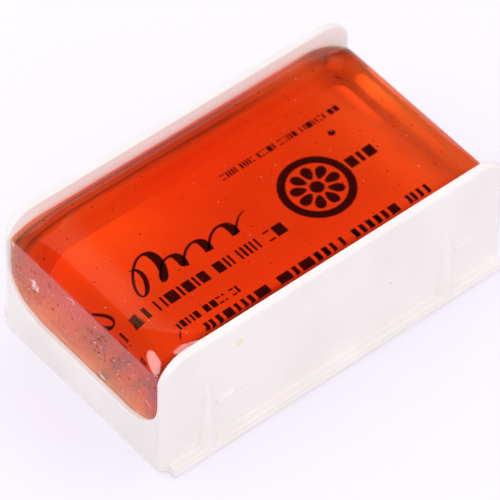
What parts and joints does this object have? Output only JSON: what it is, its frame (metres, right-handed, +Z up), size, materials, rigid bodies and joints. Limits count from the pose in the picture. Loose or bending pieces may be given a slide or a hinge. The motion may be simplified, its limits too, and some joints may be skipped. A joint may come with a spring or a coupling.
{
  "type": "rosin cake",
  "caption": "Translucent amber rosin block for bow hair, set on a printed label in an open-ended moulded U-channel holder with base flanges.",
  "frame": {"origin": "centre of the holder's underside, on the table", "axes": "+X along the channel, +Y across it, +Z up"},
  "size_m": [0.0476, 0.0294, 0.0173],
  "materials": {
    "holder": "satin moulded off-white",
    "rosin": "glossy translucent amber resin",
    "label": null
  },
  "bodies": {
    "root": {"holder": "holder", "rosin": "rosin", "label": "label"}
  },
  "joints": []
}
